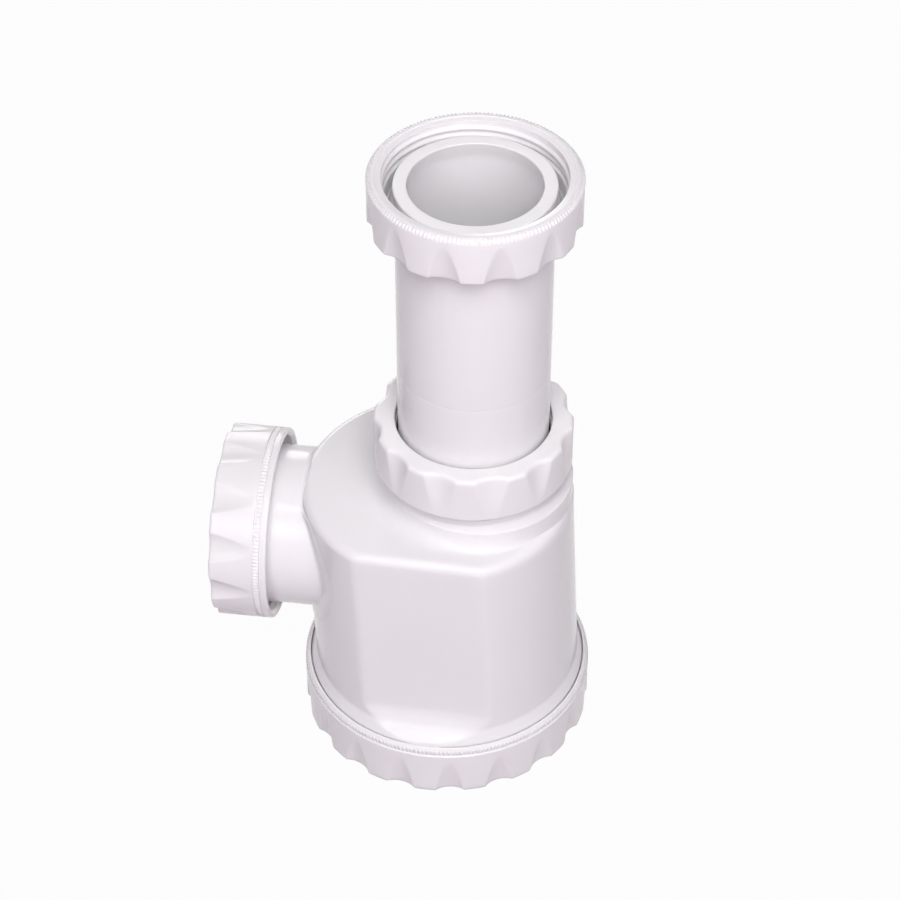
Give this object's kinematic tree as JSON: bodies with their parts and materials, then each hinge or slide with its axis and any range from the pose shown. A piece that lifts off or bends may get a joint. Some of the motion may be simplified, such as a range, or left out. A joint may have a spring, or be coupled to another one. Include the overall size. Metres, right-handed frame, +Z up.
{
  "type": "telescopic bottle trap",
  "caption": "Telescopic bottle trap for a sink: a screwed base cap, a flat-sided barrel with a side outlet, and a sliding inlet tube with union nuts.",
  "frame": {"origin": "centre of the base cap's underside, on the axis of the barrel's foot", "axes": "+Z up along the inlet tube, which is set off to +X; -X out of the side outlet; the flats face -Y and +Y"},
  "size_m": [0.1042, 0.0826, 0.1881],
  "materials": {
    "body_plastic": "moulded white polypropylene, glossy",
    "nut_plastic": "moulded white polypropylene, glossy",
    "washer_plastic": "soft white plastic washer, satin",
    "slip_plastic": "thin white slip ring, satin",
    "seal_rubber": "black moulded rubber"
  },
  "bodies": {
    "bottle": {"bottle_body": "body_plastic"},
    "tube": {"inlet_tube": "body_plastic", "inlet_washer": "washer_plastic"},
    "inlet_nut": {"inlet_nut": "nut_plastic"},
    "neck_ring": {"neck_slip_ring": "slip_plastic", "neck_seal": "seal_rubber"},
    "neck_nut": {"neck_nut": "nut_plastic"},
    "outlet_ring": {"outlet_slip_ring": "slip_plastic", "outlet_seal": "seal_rubber"},
    "outlet_nut": {"outlet_nut": "nut_plastic"},
    "cap_seal": {"base_cap_seal": "seal_rubber"},
    "cap": {"base_cap": "nut_plastic"}
  },
  "joints": [
    {"name": "tube_slide", "type": "slide", "parent": "bottle", "child": "tube", "axis": [0, 0, 1], "range_m": [-0.054, 0.012]},
    {"name": "inlet_nut_turn", "type": "hinge", "parent": "tube", "child": "inlet_nut", "pos_m": [0.0073, 0, 0.1812], "axis": [0, 0, 1], "continuous": true},
    {"name": "neck_nut_rise", "type": "slide", "parent": "bottle", "child": "neck_ring", "axis": [0, 0, 1], "range_m": [0, 0.0105]},
    {"name": "neck_nut_turn", "type": "hinge", "parent": "neck_ring", "child": "neck_nut", "pos_m": [0.0073, 0, 0.101], "axis": [0, 0, 1], "range_deg": [0, 1080]},
    {"name": "outlet_nut_travel", "type": "slide", "parent": "bottle", "child": "outlet_ring", "axis": [-1, 0, 0], "range_m": [0, 0.0105]},
    {"name": "outlet_nut_turn", "type": "hinge", "parent": "outlet_ring", "child": "outlet_nut", "pos_m": [-0.056, 0, 0.0612], "axis": [-1, 0, 0], "range_deg": [0, 1080]},
    {"name": "cap_drop", "type": "slide", "parent": "bottle", "child": "cap_seal", "axis": [0, 0, -1], "range_m": [0, 0.0105]},
    {"name": "cap_turn", "type": "hinge", "parent": "cap_seal", "child": "cap", "pos_m": [0, 0, 0.009], "axis": [0, 0, -1], "range_deg": [0, 1080]}
  ],
  "couplings": [
    {"joint": "neck_nut_rise", "follows": "neck_nut_turn", "m_per_rad": 0.000557},
    {"joint": "outlet_nut_travel", "follows": "outlet_nut_turn", "m_per_rad": 0.000557},
    {"joint": "cap_drop", "follows": "cap_turn", "m_per_rad": 0.000557}
  ]
}
